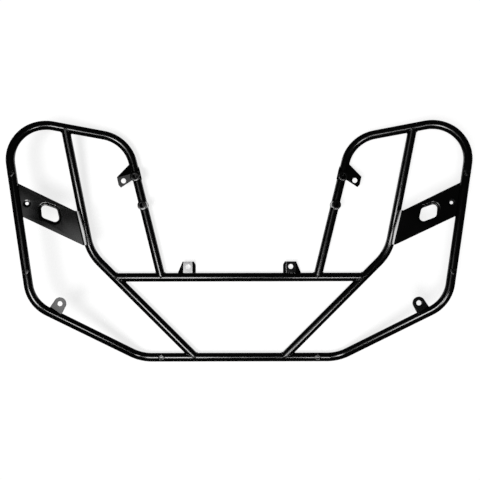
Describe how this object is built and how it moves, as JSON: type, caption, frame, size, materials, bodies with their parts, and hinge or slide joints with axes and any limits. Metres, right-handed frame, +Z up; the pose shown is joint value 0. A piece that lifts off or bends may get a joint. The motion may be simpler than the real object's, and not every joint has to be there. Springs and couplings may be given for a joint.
{
  "type": "front grille guard",
  "caption": "Welded round-tube front guard with two lamp hoops, a crossbar, diagonal braces, bent side plates, bolt tabs and round bosses.",
  "frame": {"origin": "centre of the guard's overall box", "axes": "+X to the guard's right seen from the vehicle, +Y away from the vehicle (the outer face), +Z up; every mounting face looks along -Y, towards the vehicle"},
  "size_m": [1.2916, 0.1408, 0.6906],
  "materials": {
    "tube_coat": "black satin powder coat on steel tube",
    "sheet_coat": "black satin powder coat on steel sheet",
    "boss_coat": "black satin powder coat on turned steel, machined faces slightly brighter"
  },
  "bodies": {
    "root": {"bottom_rail_tube": "tube_coat", "crossbar_tube": "tube_coat", "left_hoop_tube": "tube_coat", "left_diagonal_brace": "tube_coat", "left_side_plate": "sheet_coat", "left_crossbar_bracket": "sheet_coat", "left_lower_tab": "sheet_coat", "left_upper_bracket": "sheet_coat", "left_large_standoff": "boss_coat", "left_ring_boss": "boss_coat", "left_outer_upper_boss": "boss_coat", "left_outer_lower_boss": "boss_coat", "left_bottom_boss": "boss_coat", "right_hoop_tube": "tube_coat", "right_diagonal_brace": "tube_coat", "right_side_plate": "sheet_coat", "right_crossbar_bracket": "sheet_coat", "right_lower_tab": "sheet_coat", "right_upper_bracket": "sheet_coat", "right_large_standoff": "boss_coat", "right_ring_boss": "boss_coat", "right_outer_upper_boss": "boss_coat", "right_outer_lower_boss": "boss_coat", "right_bottom_boss": "boss_coat"}
  },
  "joints": []
}
